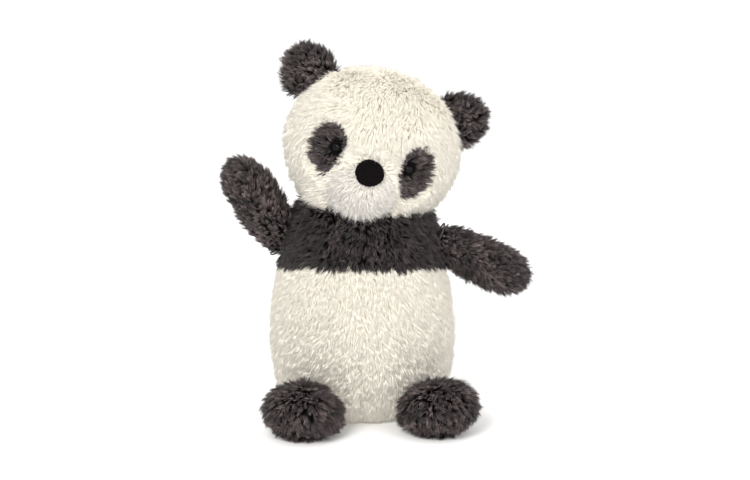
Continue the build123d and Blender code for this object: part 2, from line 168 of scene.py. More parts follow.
# outside of the torso's pile: radius, z
TORSO_OUTSIDE = [
    (37.0, 0.0), (42.6, 3.2), (46.4, 8.6), (49.3, 15.5), (51.0, 23.0), (52.5, 31.0),
    (53.2, 40.0), (53.2, 48.6), (52.5, 58.6), (51.2, 69.4), (49.3, 79.9), (47.4, 88.4),
    (45.7, 98.4), (43.4, 108.4), (39.5, 118.9), (36.4, 124.4)]
# the skin's base and the hollow in its top: z, radius
TORSO_BASE = [(1.2, 0.0), (1.2, 12.0), (1.2, 24.0)]
TORSO_HOLLOW = [(126.0, 33.6), (125.7, 32.0), (122.9, 30.6), (117.9, 28.2), (113.6, 23.5),
                (111.6, 16.0), (111.0, 8.0), (110.8, 0.0)]
# arm skin: distance along the arm from the shoulder, radius
ARM_PROFILE = [
    (-7.4, 0.0), (-6.6, 3.6), (-4.2, 6.4), (0, 8.2), (5, 8.9), (10, 9.3), (16, 9.9),
    (22, 10.4), (29, 10.9), (36, 11.0), (41, 10.7), (46, 9.6), (50, 7.6), (53.0, 4.7),
    (54.6, 2.2), (55.2, 0.0)]


def turn_to_head(v):
    return turn_y(v, -HEAD_TILT)


def turn_from_head(v):
    return turn_y(v, HEAD_TILT)


def to_head(p):
    return turn_to_head(p - HEAD_C)


def from_head(h):
    return HEAD_C + turn_from_head(h)


def to_foot(side, q):
    return turn_y(turn_z(q - FOOT_C[side], -FOOT_TURN[side]), SIDES[side] * FOOT_ROLL)


# ---------------------------------------------------------------- meshes
def add_object(name, data):
    ob = bpy.data.objects.new(name, data)
    scene.collection.objects.link(ob)
    return ob


def new_mesh(name, verts_mm, faces):
    me = bpy.data.meshes.new(name)
    me.from_pydata((np.asarray(verts_mm) * MM).tolist(), [], faces)
    me.update()
    return add_object(name, me)


def recalc_normals(ob):
    bm = bmesh.new()
    bm.from_mesh(ob.data)
    bmesh.ops.recalc_face_normals(bm, faces=bm.faces)
    bm.to_mesh(ob.data)
    bm.free()


def shade_smooth(me):
    me.polygons.foreach_set("use_smooth", np.ones(len(me.polygons), bool))


def revolve(name, profile, origin, axis, segments):
    """A closed skin of revolution. profile: distance along the axis, radius, pole to pole."""
    axis = unit(np.asarray(axis, float))
    side = unit(np.cross(axis, [0.0, 1.0, 0.0]))
    up = np.cross(axis, side)
    profile = np.array(profile, float)
    verts = [origin + axis * profile[0, 0]]
    for along, radius in profile[1:-1]:
        for k in range(segments):
            angle = 2 * math.pi * k / segments
            rim = math.cos(angle) * side + math.sin(angle) * up
            verts.append(origin + axis * along + radius * rim)
    verts.append(origin + axis * profile[-1, 0])
    last = len(verts) - 1
    rings = len(profile) - 2
    faces = []
    for k in range(segments):
        j = (k + 1) % segments
        faces.append((0, 1 + j, 1 + k))
        for i in range(rings - 1):
            a = 1 + i * segments
            b = a + segments
            faces.append((a + k, a + j, b + j, b + k))
        a = 1 + (rings - 1) * segments
        faces.append((last, a + k, a + j))
    ob = new_mesh(name, verts, faces)
    recalc_normals(ob)
    return ob


def star(name, centre, distance, reach, subdivisions):
    """A closed skin round centre, where distance(points) turns positive on the way out."""
    bm = bmesh.new()
    bmesh.ops.create_icosphere(bm, subdivisions=subdivisions, radius=1.0)
    rays = unit(np.array([v.co[:] for v in bm.verts]))
    steps = np.linspace(2.0, reach, 180)
    hit = np.zeros(len(rays))
    before = distance(centre + rays * steps[0])
    for a, b in zip(steps[:-1], steps[1:]):
        now = distance(centre + rays * b)
        leaves = (before < 0) & (now >= 0)
        exact = a + (b - a) * (before / np.where(before == now, 1, before - now))
        hit[leaves] = exact[leaves]
        before = now
    for v, q in zip(bm.verts, centre + rays * hit[:, None]):
        v.co = q * MM
    me = bpy.data.meshes.new(name)
    bm.to_mesh(me)
    bm.free()
    ob = add_object(name, me)
    recalc_normals(ob)
    return ob


def coords(ob):
    co = np.zeros(len(ob.data.vertices) * 3, np.float32)
    ob.data.vertices.foreach_get("co", co)
    return co.reshape(-1, 3).astype(float) / MM


def set_coords(ob, co):
    ob.data.vertices.foreach_set("co", (co * MM).astype(np.float32).ravel())
    ob.data.update()


def vertex_normals(ob):
    n = np.zeros(len(ob.data.vertices) * 3, np.float32)
    ob.data.vertex_normals.foreach_get("vector", n)
    return n.reshape(-1, 3).astype(float)


def triangles(ob):
    me = ob.data
    me.calc_loop_triangles()
    t = np.zeros(len(me.loop_triangles) * 3, np.int32)
    me.loop_triangles.foreach_get("vertices", t)
    return t.reshape(-1, 3)


def apply_modifiers(ob):
    depsgraph = bpy.context.evaluated_depsgraph_get()
    me = bpy.data.meshes.new_from_object(ob.evaluated_get(depsgraph))
    ob.modifiers.clear()
    old = ob.data
    ob.data = me
    bpy.data.meshes.remove(old)


# ---------------------------------------------------------------- padding
def inflate(ob, start, held, cap):
    """Blows the skin up as cloth, held at its seams. Returns the moves, eased off at cap."""
    frames = 20
    group = ob.vertex_groups.new(name="seams")
    for i, weight in enumerate(held):
        if weight > 0.02:
            group.add([i], float(weight), "REPLACE")
    cloth = ob.modifiers.new("cloth", "CLOTH")
    settings = cloth.settings
    settings.quality = 4
    settings.mass = 0.15
    settings.tension_stiffness = 12
    settings.compression_stiffness = 12
    settings.shear_stiffness = 4
    settings.bending_stiffness = 0.4
    settings.use_pressure = True
    settings.uniform_pressure_force = 4.0
    settings.vertex_group_mass = "seams"
    settings.effector_weights.gravity = 0.0
    cloth.collision_settings.use_collision = False
    scene.frame_start, scene.frame_end = 1, frames
    cloth.point_cache.frame_start, cloth.point_cache.frame_end = 1, frames
    for f in range(1, frames + 1):
        scene.frame_set(f)
    apply_modifiers(ob)
    scene.frame_set(1)
    move = np.nan_to_num(coords(ob) - start)
    size = np.linalg.norm(move, axis=1, keepdims=True)
    return move * (cap * np.tanh(size / cap) / np.maximum(size, 1e-6))


def pad(ob, seam, voxel, cap, floor=None):
    """Fills a sewn skin. seam(points) is the distance to the nearest seam, cap the most the
    cloth may swell, floor the lowest z it may reach."""
    remesh = ob.modifiers.new("remesh", "REMESH")
    remesh.mode = "VOXEL"
    remesh.voxel_size = voxel * MM
    apply_modifiers(ob)
    start = coords(ob)
    held = bell(seam(start), width=1.9)
    move = inflate(ob, start, held, cap)
    # the stitches pull the cloth in a little along each seam
    normals = vertex_normals(ob)
    move -= normals * (0.9 * bell(seam(start), width=2.4))[:, None]
    # broad and fine unevenness of the filling
    lumps = 0.35 * wave(start, scale=26.0, seed=5) + 0.16 * wave(start, scale=9.0, seed=6)
    move += normals * lumps[:, :1]
    out = start + move
    if floor is not None:
        out[:, 2] = np.maximum(out[:, 2], floor)
    set_coords(ob, out)
    subdivision = ob.modifiers.new("sub", "SUBSURF")
    subdivision.levels = subdivision.render_levels = 1
    apply_modifiers(ob)
    if ob.vertex_groups:
        ob.vertex_groups.clear()
    shade_smooth(ob.data)
    ob.data.update()
    return ob


# ---------------------------------------------------------------- pile
DENSE = 2.6                            # tufts per square millimetre
LIMB_DENSE = DENSE * 1.4
LONG = 8.4                             # length of the ordinary pile
LIMB_LONG = LONG * 0.95

# How a panel's pile grows:
#   width       tuft radius at its thickest
#   clump       size of the small locks
#   pull        how far the tips gather towards the tip of their lock's leader
#   wild        spread of the locks' directions, radians
#   rise        degrees above the cloth, at the root and at the tip
#   calm        scale on every lock's wandering and lift
#   spread      spread of tone from tuft to tuft
#   tone_shift  added to the tone afterwards
DARK_GROWTH = dict(width=0.235, clump=1.9, pull=0.45, wild=0.5, rise=(62.0, 12.0))
PALE_GROWTH = dict(width=0.27, clump=1.4, pull=0.22, wild=0.34, rise=(52.0, 8.0),
                   calm=0.62, spread=0.1)
# the chest pile is toned darker as painted shade, the head's shadow over the chest
CHEST_GROWTH = DARK_GROWTH | dict(tone_shift=-0.25)
PATCH_GROWTH = dict(width=0.23, clump=1.7, pull=0.4, wild=0.40, rise=(56.0, 8.0),
                    tone_shift=0.12)
FACE_GROWTH = PALE_GROWTH | dict(width=0.265, wild=0.30, rise=(50.0, 6.0))
EAR_GROWTH = DARK_GROWTH | dict(clump=1.8, pull=0.42, wild=0.6, rise=(66.0, 18.0))
ARM_GROWTH = DARK_GROWTH | dict(rise=(62.0, 14.0))
FOOT_GROWTH = DARK_GROWTH | dict(wild=0.55)

# a tuft: two rings of three vertices and a tip, closed at the root
TUFT_FACES = np.array(
    [(0, 2, 1)]
    + [face for c in range(3) for face in (
        (c, (c + 1) % 3, 3 + c), ((c + 1) % 3, 3 + (c + 1) % 3, 3 + c))]
    + [(3 + c, 3 + (c + 1) % 3, 6) for c in range(3)])
TUFT_V = np.array([0.02] * 3 + [0.5] * 3 + [0.98])         # V runs from root to tip
TUFT_U = np.array([0.0, 0.5, 1.0] * 2 + [0.5])             # place round the tuft
TONE_LIMITS = (0.03, 0.97)


def roots(ob, density):
    """Evenly spread points on a skin, and their normals."""
    co, normals, tri = coords(ob), vertex_normals(ob), triangles(ob)
    a, b, c = co[tri[:, 0]], co[tri[:, 1]], co[tri[:, 2]]
    want = 0.5 * np.linalg.norm(np.cross(b - a, c - a), axis=1) * density
    count = np.floor(want + rng.random(len(want))).astype(int)
    corners = tri[np.repeat(np.arange(len(tri)), count)]
    s = np.sqrt(rng.random(len(corners)))
    t = rng.random(len(corners))
    weights = np.stack([1 - s, s * (1 - t), s * t], 1)[:, :, None]
    return (co[corners] * weights).sum(1), unit((normals[corners] * weights).sum(1))


def split(keep, *arrays):
    return [a[keep] for a in arrays]


def lock_leaders(p, clump, r):
    """For every tuft, the index of the nearest leader."""
    leaders = np.flatnonzero(r.random(len(p)) < 1.0 / (DENSE * clump * clump * 0.8))
    if len(leaders) < 4:
        leaders = np.arange(min(4, len(p)))
    tree = kdtree.KDTree(len(leaders))
    for k, i in enumerate(leaders):
        tree.insert(p[i], k)
    tree.balance()
    return leaders[np.array([tree.find(q)[1] for q in p])]


def grow(p, n, nap, length, seed, width, clump, pull, wild, rise,
         calm=1.0, spread=0.2, tone_shift=0.0, on_floor=False):
    """Pile as closed, three-sided, tapering tufts that bend over into the nap.
    Returns the vertices (tufts, 7, 3) and each tuft's tone."""
    r = np.random.default_rng(seed)
    m = len(p)
    nap = nap - (nap * n).sum(1, keepdims=True) * n
    lie = unit(nap + 1e-6)
    across = np.cross(n, lie)
    swirl = wave(p, scale=17.0, seed=seed + 3)[:, 0] * 0.30
    own = lock_leaders(p, clump, r)
    turn = r.normal(0, wild, m)
    lift = r.normal(0, 9.0 * calm, m)
    lock_length = r.uniform(0.82, 1.16, m)
    heading = swirl * calm + turn[own] * 0.85 * calm + r.normal(0, 0.16, m)
    lie = lie * np.cos(heading)[:, None] + across * np.sin(heading)[:, None]
    across = np.cross(n, lie)
    length = length * lock_length[own] * r.uniform(0.86, 1.1, m)
    root_rise = np.radians(np.clip(rise[0] + lift[own] + r.normal(0, 6, m), 20, 88))
    tip_rise = np.radians(np.clip(rise[1] + lift[own] * 1.3 + r.normal(0, 7, m), -15, 80))

    def direction(t):
        angle = root_rise + (tip_rise - root_rise) * t
        return lie * np.cos(angle)[:, None] + n * np.sin(angle)[:, None]

    # the spine of each tuft: root, middle, tip
    stations = np.array([0.0, 0.5, 1.0])
    spine = np.zeros((m, 3, 3))
    spine[:, 0] = p - n * 0.5
    for k in range(1, 3):
        a, b = stations[k - 1], stations[k]
        spine[:, k] = spine[:, k - 1] + direction((a + b) / 2) * (length * (b - a))[:, None]
    # tips gather towards the leader's tip, by 3 mm before the pull at most
    gap = spine[own, 2] - spine[:, 2]
    gap *= np.minimum(1.0, 3.0 / np.maximum(np.linalg.norm(gap, axis=1), 1e-6))[:, None]
    for k in range(1, 3):
        spine[:, k] += gap * pull * stations[k] ** 1.5
    if on_floor:
        spine[:, :, 2] = np.maximum(spine[:, :, 2], 0.15 + 0.25 * r.random(m)[:, None])

    width = width * r.uniform(0.7, 1.25, m)
    roll = r.uniform(0, 2.1, m)
    verts = np.zeros((m, 7, 3))
    for k, taper in enumerate((0.85, 0.95)):
        up = np.cross(direction(stations[k]), across)
        for c in range(3):
            a = roll + c * 2 * math.pi / 3
            ring = across * (1.15 * np.cos(a))[:, None] + up * (0.85 * np.sin(a))[:, None]
            verts[:, k * 3 + c] = spine[:, k] + (width * taper)[:, None] * ring
    verts[:, 6] = spine[:, 2]
    tone = 0.5 + 0.13 * wave(p, scale=9.0, seed=seed + 9)[:, 1]
    tone = tone + 0.8 * spread * r.normal(size=m)[own] + r.normal(0, spread, m)
    return verts, np.clip(np.clip(tone, *TONE_LIMITS) + tone_shift, *TONE_LIMITS)


def fur_object(name, verts, tone, pile, body, node):
    """One panel's tufts as a mesh. U holds the tone, V runs from root to tip."""
    m = len(verts)
    co = (verts.reshape(-1, 3) * MM).astype(np.float32)
    tris = (TUFT_FACES[None] + (np.arange(m) * 7)[:, None, None]).reshape(-1, 3)
    tris = tris.astype(np.int32)
    me = bpy.data.meshes.new(name)
    me.vertices.add(len(co))
    me.vertices.foreach_set("co", co.ravel())
    me.loops.add(tris.size)
    me.loops.foreach_set("vertex_index", tris.ravel())
    me.polygons.add(len(tris))
    me.polygons.foreach_set("loop_start", np.arange(0, tris.size, 3, dtype=np.int32))
    me.polygons.foreach_set("loop_total", np.full(len(tris), 3, np.int32))
    me.update(calc_edges=True)
    uv = np.zeros((m, 7, 2), np.float32)
    uv[:, :, 0] = tone[:, None] + (TUFT_U[None] - 0.5) * 0.03
    uv[:, :, 1] = TUFT_V[None]
    layer = me.uv_layers.new(name="OFBake")
    layer.data.foreach_set("uv", uv.reshape(-1, 2)[tris.ravel()].ravel())
    shade_smooth(me)
    me.materials.append(pile)
    me.validate()
    ob = add_object(name, me)
    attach(ob, body)
    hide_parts(node)


def grow_panels(body, panels, p, n, nap, length, first_seed, dark, pale=None, on_floor=False):
    """panels: object name, frame node it replaces, which roots are its own, pile material."""
    for k, (name, node, own, pile) in enumerate(panels):
        growth = dark if pile is CHARCOAL else pale
        verts, tone = grow(p[own], n[own], nap[own], length[own], seed=first_seed + k,
                           on_floor=on_floor, **growth)
        fur_object(name, verts, tone, pile, body, node)


# ---------------------------------------------------------------- shader helpers
# sockets of a colour Mix node, whose names are shared with its other data types
MIX_FACTOR, MIX_A, MIX_B, MIX_RESULT = 0, 6, 7, 2


def set_inputs(node, inputs):
    """Links each input that is given a socket, and sets the others."""
    for key, value in inputs.items():
        if isinstance(value, bpy.types.NodeSocket):
            node.id_data.links.new(value, node.inputs[key])
        else:
            node.inputs[key].default_value = value


def add_node(tree, kind, inputs=None, **settings):
    node = tree.nodes.new(kind)
    for key, value in settings.items():
        setattr(node, key, value)
    set_inputs(node, inputs or {})
    return node


def add_ramp(tree, factor, stops):
    node = tree.nodes.new("ShaderNodeValToRGB")
    elements = node.color_ramp.elements
    while len(elements) < len(stops):
        elements.new(0.5)
    for element, (position, colour) in zip(elements, stops):
        element.position = position
        element.color = (*colour, 1)
    tree.links.new(factor, node.inputs[0])
    return node.outputs[0]


def grey_ramp(tree, factor, *stops):
    return add_ramp(tree, factor, [(position, (value,) * 3) for position, value in stops])


def multiply(tree, a, b):
    mix = add_node(tree, "ShaderNodeMix", data_type="RGBA", blend_type="MULTIPLY",
                   inputs={MIX_FACTOR: 1.0, MIX_A: a, MIX_B: b})
    return mix.outputs[MIX_RESULT]


def new_material(name):
    made = bpy.data.materials.new(name)
    made.use_nodes = True
    return made, made.node_tree, made.node_tree.nodes["Principled BSDF"]


def object_noise(tree, scale):
    """Noise over the object's own coordinates."""
    place = add_node(tree, "ShaderNodeTexCoord").outputs["Object"]
    made = add_node(tree, "ShaderNodeTexNoise", {"Scale": scale, "Vector": place})
    return made.outputs["Fac"]


def pile_material(name, along, tints, rough, gloss, streaks, sheen_tint=(1, 1, 1), painted_glow=0.0):
    """Pile: colour along each tuft, times a tint from its tone, times fine streaks."""
    made, tree, principled = new_material(name)
    uv = add_node(tree, "ShaderNodeUVMap", uv_map="OFBake").outputs[0]
    parts = add_node(tree, "ShaderNodeSeparateXYZ", {0: uv})
    length = add_ramp(tree, parts.outputs["Y"], along)
    tint = add_ramp(tree, parts.outputs["X"], tints)
    colour = multiply(tree, length, tint)
    stretched = add_node(tree, "ShaderNodeMapping", {"Scale": (90.0, 3.0, 1.0), 0: uv})
    streak_noise = add_node(tree, "ShaderNodeTexNoise", {
        "Scale": 1.0, "Detail": 3.0, "Vector": stretched.outputs[0]})
    streak = grey_ramp(tree, streak_noise.outputs["Fac"], (0.3, streaks[0]), (0.7, streaks[1]))
    set_inputs(principled, {
        "Base Color": multiply(tree, colour, streak),
        "Roughness": rough,
        "Specular IOR Level": gloss,
        "Sheen Weight": 0.0,
        "Sheen Roughness": 0.45,
        "Sheen Tint": (*sheen_tint, 1),
    })
    if painted_glow:                        # painted glow: the pale fibres give off their tip colour, standing in for light carried from tuft to tuft
        set_inputs(principled, {
            "Emission Color": (*along[-1][1], 1),
            "Emission Strength": painted_glow,
        })
    return made


def cloth_material(name, dark, light, scale=900.0, rough=0.9, bump=0.25, mask=None,
                   masked_colour=None, sheen=0.1, specular=0.5):
    """Woven or felted cloth: two tones, a fine grain and a soft unevenness.
    masked_colour shows where the point attribute named by mask is above 0."""
    made, tree, principled = new_material(name)
    place = add_node(tree, "ShaderNodeTexCoord").outputs["Object"]
    grain = add_node(tree, "ShaderNodeTexNoise", {"Scale": scale, "Detail": 6, "Vector": place})
    weave = add_node(tree, "ShaderNodeTexVoronoi", {"Scale": scale * 1.3, "Vector": place})
    uneven = add_node(tree, "ShaderNodeTexNoise", {"Scale": scale / 14, "Vector": place})
    colour = add_ramp(tree, grain.outputs["Fac"], [(0.32, dark), (0.68, light)])
    if mask:
        value = add_node(tree, "ShaderNodeAttribute", attribute_name=mask).outputs["Fac"]
        above = add_node(tree, "ShaderNodeMath", {0: value, 1: 0.0}, operation="GREATER_THAN")
        mix = add_node(tree, "ShaderNodeMix", data_type="RGBA", inputs={
            MIX_FACTOR: above.outputs[0], MIX_A: colour, MIX_B: (*masked_colour, 1)})
        colour = mix.outputs[MIX_RESULT]
    dim = grey_ramp(tree, uneven.outputs["Fac"], (0.3, 0.88), (0.7, 1.05))
    colour = multiply(tree, colour, dim)
    relief = add_node(tree, "ShaderNodeBump", {
        "Strength": bump, "Distance": 0.0004, "Height": weave.outputs["Distance"]})
    set_inputs(principled, {
        "Base Color": colour,
        "Normal": relief.outputs[0],
        "Roughness": rough,
        "Sheen Weight": sheen,
        "Specular IOR Level": specular,
    })
    return made


# ---------------------------------------------------------------- plush materials
# along: colour from root (0) to tip (1); tints: multiplier from the lowest to the highest tone
# painted_glow makes the pale pile glow: painted light that lifts the shade between its tufts
PALE_FINISH = dict(rough=1.0, gloss=0.0, streaks=(0.95, 1.03), painted_glow=0.17)
# The pale piles are lighter at the root than at the tip: painted light that lifts the shade deep in
# the pile.
CREAM = pile_material(
    "cream_pile",
    along=[(0.0, (0.80, 0.745, 0.655)), (0.30, (0.785, 0.75, 0.675)),
           (0.65, (0.765, 0.737, 0.672)), (1.0, (0.75, 0.727, 0.667))],
    tints=[(0.0, (0.965, 0.935, 0.88)), (0.35, (0.985, 0.97, 0.945)),
           (0.65, (1.0, 0.99, 0.975)), (1.0, (1.0, 1.0, 1.0))],
    **PALE_FINISH)
# lighter at the root than at the tip, painted light as on the cream pile
WHITE = pile_material(
    "white_pile",
    along=[(0.0, (0.705, 0.66, 0.60)), (0.30, (0.69, 0.662, 0.615)),
           (0.65, (0.675, 0.653, 0.618)), (1.0, (0.662, 0.645, 0.614))],
    tints=[(0.0, (0.97, 0.95, 0.92)), (0.5, (0.99, 0.985, 0.97)), (1.0, (1.0, 1.0, 1.0))],
    **PALE_FINISH)
# Charcoal pile: painted shade darkens each tuft towards its root and a painted highlight lights its
# tip. Its tone differs at random from tuft to tuft, and the upper tints brighten a few tufts further
# as painted highlight.
CHARCOAL = pile_material(
    "charcoal_pile",
    along=[(0.0, (0.003, 0.0022, 0.0022)), (0.35, (0.011, 0.0082, 0.008)),
           (0.62, (0.032, 0.0252, 0.0250)), (0.85, (0.094, 0.0755, 0.0755)),
           (1.0, (0.235, 0.195, 0.195))],
    tints=[(0.0, (0.26, 0.25, 0.25)), (0.35, (0.55, 0.53, 0.53)), (0.62, (1.0, 0.97, 0.96)),
           (0.82, (2.0, 1.93, 1.90)), (1.0, (3.3, 3.18, 3.14))],
    rough=0.42, gloss=0.45, streaks=(0.86, 1.08), sheen_tint=(0.85, 0.80, 0.79))
BACKING = cloth_material(
    "knit_backing", dark=(0.80, 0.73, 0.62), light=(0.88, 0.82, 0.72),
    mask="dark_side", masked_colour=(0.0035, 0.0028, 0.0030), sheen=0.0, specular=0.05)
DARK_BACKING = cloth_material(
    "dark_knit_backing", dark=(0.003, 0.0024, 0.0026), light=(0.008, 0.0065, 0.007),
    sheen=0.0, specular=0.05)


# ---------------------------------------------------------------- sewn skins
def band_side(q):
    """Positive on the dark band."""
    return (q[:, 2] - BAND_Z) * math.cos(BAND_SLOPE) + q[:, 1] * math.sin(BAND_SLOPE)


def torso_profile():
    """The outside moved in to the backing, then closed below and hollowed at the top."""
    pts = np.array(TORSO_OUTSIDE)
    tangent = np.gradient(pts, axis=0)
    pts = pts - unit(np.stack([tangent[:, 1], -tangent[:, 0]], 1)) * BACK
    pts[0] = (34.5, 1.2)               # the two lowest points turn in under the base
    pts[1] = (40.4, 4.0)
    return TORSO_BASE + [(z, r) for r, z in pts] + TORSO_HOLLOW


def torso_seam(q):
    """Band edge, side seams, the belly's centre seams and the rim of the base.
    The amounts added put a seam out of reach where it doesn't run."""
    x, y, z = q.T
    band = band_side(q)
    d = np.abs(band)
    d = np.minimum(d, np.abs(y) + np.where(np.abs(x) < 20, 30, 0))
    d = np.minimum(d, np.abs(x) + np.where(band < 0, 0, 40))
    return np.minimum(d, np.hypot(np.hypot(x, y) - 34.0, z - 1.0))


def skull_and_snout(h):
    skull = ellipsoid_distance(h, HEAD_R)
    snout = np.linalg.norm(h - SNOUT_C, axis=1) - SNOUT_R
    return skull, snout


def head_distance(q):
    return blended_union(*skull_and_snout(to_head(q)), blend=5.0)


def muzzle_side(h):
    """Negative on the muzzle panel."""
    skull, snout = skull_and_snout(h)
    return snout - skull - 1.2


def patch_side(h):
    """Negative on either eye patch."""
    d = outline_distance(np.stack([np.abs(h[:, 0]), h[:, 2]], 1), PATCH)
    return np.where(h[:, 1] < 0, d, 99.0)


def head_seam(q):
    """Face to back, the centre line below and behind the brow, muzzle and eye patches."""
    h = to_head(q)
    off_seam = np.where((h[:, 1] > -38) & (h[:, 2] > -4), 0, 30)
    d = np.abs(h[:, 1] - HEAD_SEAM_Y)
    d = np.minimum(d, np.abs(h[:, 0]) + off_seam)
    d = np.minimum(d, np.abs(muzzle_side(h)))
    return np.minimum(d, np.abs(patch_side(h)))


def make_ear(side):
    def distance(q):
        h = to_head(q) - EAR_C[side]
        h[:, 1] += 0.012 * (h[:, 0] ** 2 + h[:, 2] ** 2) - 1.0     # dished
        return ellipsoid_distance(h, EAR_R)

    def seam(q):
        return np.abs(to_head(q)[:, 1] - EAR_C[side][1] + EAR_SEAM)

    centre = from_head(EAR_C[side][None])[0]
    ear = star(f"ear_{side}_cloth", centre, distance, reach=30, subdivisions=4)
    return pad(ear, seam, voxel=2.6, cap=0.7)


def make_arm(side):
    def seam(q):
        return np.abs(q[:, 1] - SHOULDER[side][1])

    profile = ARM_PROFILE
    if side == "right":                # the raised arm is fuller near the shoulder
        profile = [(u, r + (1.1 * bell(u - 18, width=14) if r > 1 else 0)) for u, r in profile]
    arm = revolve(f"arm_{side}_cloth", profile, SHOULDER[side], ARM_DIR[side], segments=40)
    return pad(arm, seam, voxel=3.2, cap=0.9)


def make_foot(side):
    def distance(q):
        foot = ellipsoid_distance(to_foot(side, q), FOOT_R)
        a, b = FOOT_C[side], HEEL_C[side]
        t = np.clip(((q - a) @ (b - a)) / ((b - a) @ (b - a)), 0, 1)
        leg = np.linalg.norm(q - (a + t[:, None] * (b - a)), axis=1) - HEEL_R
        return np.maximum(blended_union(foot, leg, blend=5.0), 1.6 - q[:, 2])

    def seam(q):
        return np.abs(to_foot(side, q)[:, 2] - SOLE_Z)

    foot = star(f"foot_{side}_cloth", FOOT_C[side], distance, reach=44, subdivisions=4)
    return pad(foot, seam, voxel=3.4, cap=0.9, floor=1.2)


def mark_dark_side(ob, value):
    """Stores which side of its dye lines each point of the backing is on."""
    attribute = ob.data.attributes.new("dark_side", "FLOAT", "POINT")
    attribute.data.foreach_set("value", value.astype(np.float32))


def dress_skin(ob, body, backing):
    ob.data.materials.clear()
    ob.data.materials.append(backing)
    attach(ob, body)


torso = revolve("torso_cloth", torso_profile(), np.zeros(3), axis=(0, 0, 1), segments=84)
pad(torso, torso_seam, voxel=4.4, cap=1.3, floor=1.0)
head = star("head_cloth", HEAD_C, head_distance, reach=90.0, subdivisions=5)
pad(head, head_seam, voxel=4.2, cap=1.1)
ears, arms, feet = {}, {}, {}
for side in SIDES:
    ears[side] = make_ear(side)
    arms[side] = make_arm(side)
    feet[side] = make_foot(side)

mark_dark_side(torso, band_side(coords(torso)))
mark_dark_side(head, -patch_side(to_head(coords(head))))
dress_skin(torso, "torso", BACKING)
dress_skin(head, "head", BACKING)
for limb, skins in (("ear", ears), ("arm", arms), ("foot", feet)):
    for side in SIDES:
        dress_skin(skins[side], f"{limb}_{side}", DARK_BACKING)


# ---------------------------------------------------------------- pile on every panel
NO_DEPTH = np.array([1.0, 0.0, 1.0])   # drops the front-to-back part of a vector


def grow_torso():
    p, n = roots(torso, DENSE)
    radius = np.hypot(p[:, 0], p[:, 1])
    in_hollow = (p[:, 2] > 109.4) & (radius < 31.5) & (n[:, 2] > 0.1)
    socket = np.minimum(*(np.linalg.norm(p - SHOULDER[side], axis=1) for side in SIDES))
    under = (p[:, 2] < 2.4) & (n[:, 2] < -0.6)
    thinned = under & (rng.random(len(p)) < 0.55)
    p, n, radius, under = split(~in_hollow & (socket > 7.5) & ~thinned, p, n, radius, under)

    # the pile lies down and outwards, up and out round the top rim, and outwards underneath
    nap = np.zeros_like(p)
    nap[:, 2] = -1.0
    nap[:, 0] += p[:, 0] / 50.0 * 0.55
    nap += 0.25 * wave(p, scale=38.0, seed=21)
    radial = unit(np.stack([p[:, 0], p[:, 1], p[:, 0] * 0], 1))
    rim = smooth(p[:, 2], start=118.4, end=125.4)[:, None]
    nap = nap * (1 - rim) + rim * (radial * 0.9 + np.array([0, 0, 0.55]))
    nap[under] = radial[under]

    band = band_side(p) > 0.25 * wave(p, scale=4.0, seed=8)[:, 0]
    base = under & (radius < 33)
    # shorter along the seams, though less so at the band's edge
    seam_cut = 0.30 * bell(torso_seam(p), width=1.5)
    length = LONG * (1 - seam_cut * np.where(np.abs(band_side(p)) < 4, 0.3, 1.0))
    length[base] = 3.2
    length *= np.where(band, 1.0, 0.96)

    front, left = p[:, 1] < 0, p[:, 0] > 0
    panels = [(f"chest_{name}_pile", f"chest_panel_{name}", band & half, CHARCOAL)
              for name, half in (("front", front), ("back", ~front))]
    for name, half in (("front", front), ("back", ~front)):
        for side, flank in (("left", left), ("right", ~left)):
            panels.append((f"belly_{name}_{side}_pile", f"belly_panel_{name}_{side}",
                           ~band & half & flank & ~base, CREAM))
    panels.append(("base_pile", "base_panel", base, CREAM))
    grow_panels("torso", panels, p, n, nap, length, first_seed=100,
                dark=CHEST_GROWTH, pale=PALE_GROWTH, on_floor=True)


def head_nap(p, h):
    """The lie of the pile on the head, in the head's frame, before it parts round the eyes."""
    away = unit((h - NOSE_C) * NO_DEPTH)
    x = h[:, 0]
    down = np.zeros_like(h)
    down[:, 2] = -1.0
    down[:, 0] = 0.55 * np.sign(x) * smooth(np.abs(x), start=0, end=26)
    # over the crown the pile lies forward, towards the face
    crown = smooth(h[:, 2], start=18, end=36)[:, None]
    down = down * (1 - crown) + crown * np.array([0, -1.0, -0.1]) + np.array([0, 0.0, -0.15])
    down[:, 0] += crown[:, 0] * 0.006 * x
    # behind it lies down; the two directions mix over the seam
    mixing = 5.0 * np.random.default_rng(77).normal(size=len(h))
    behind = h[:, 1] > HEAD_SEAM_Y + mixing
    down[behind] = np.array([0, 0.1, -1.0])
    down[behind, 0] += 0.3 * (x[behind] / 50)
    # round the muzzle and on the patches it runs away from the nose
    near = bell(np.maximum(muzzle_side(h), 0), width=9.0)
    near = np.maximum(near, 0.75 * smooth(patch_side(h), start=3.0, end=0.0))[:, None]
    nap = down * (1 - near) + away * near + 0.22 * wave(p, scale=30.0, seed=33)
    return nap, crown[:, 0]


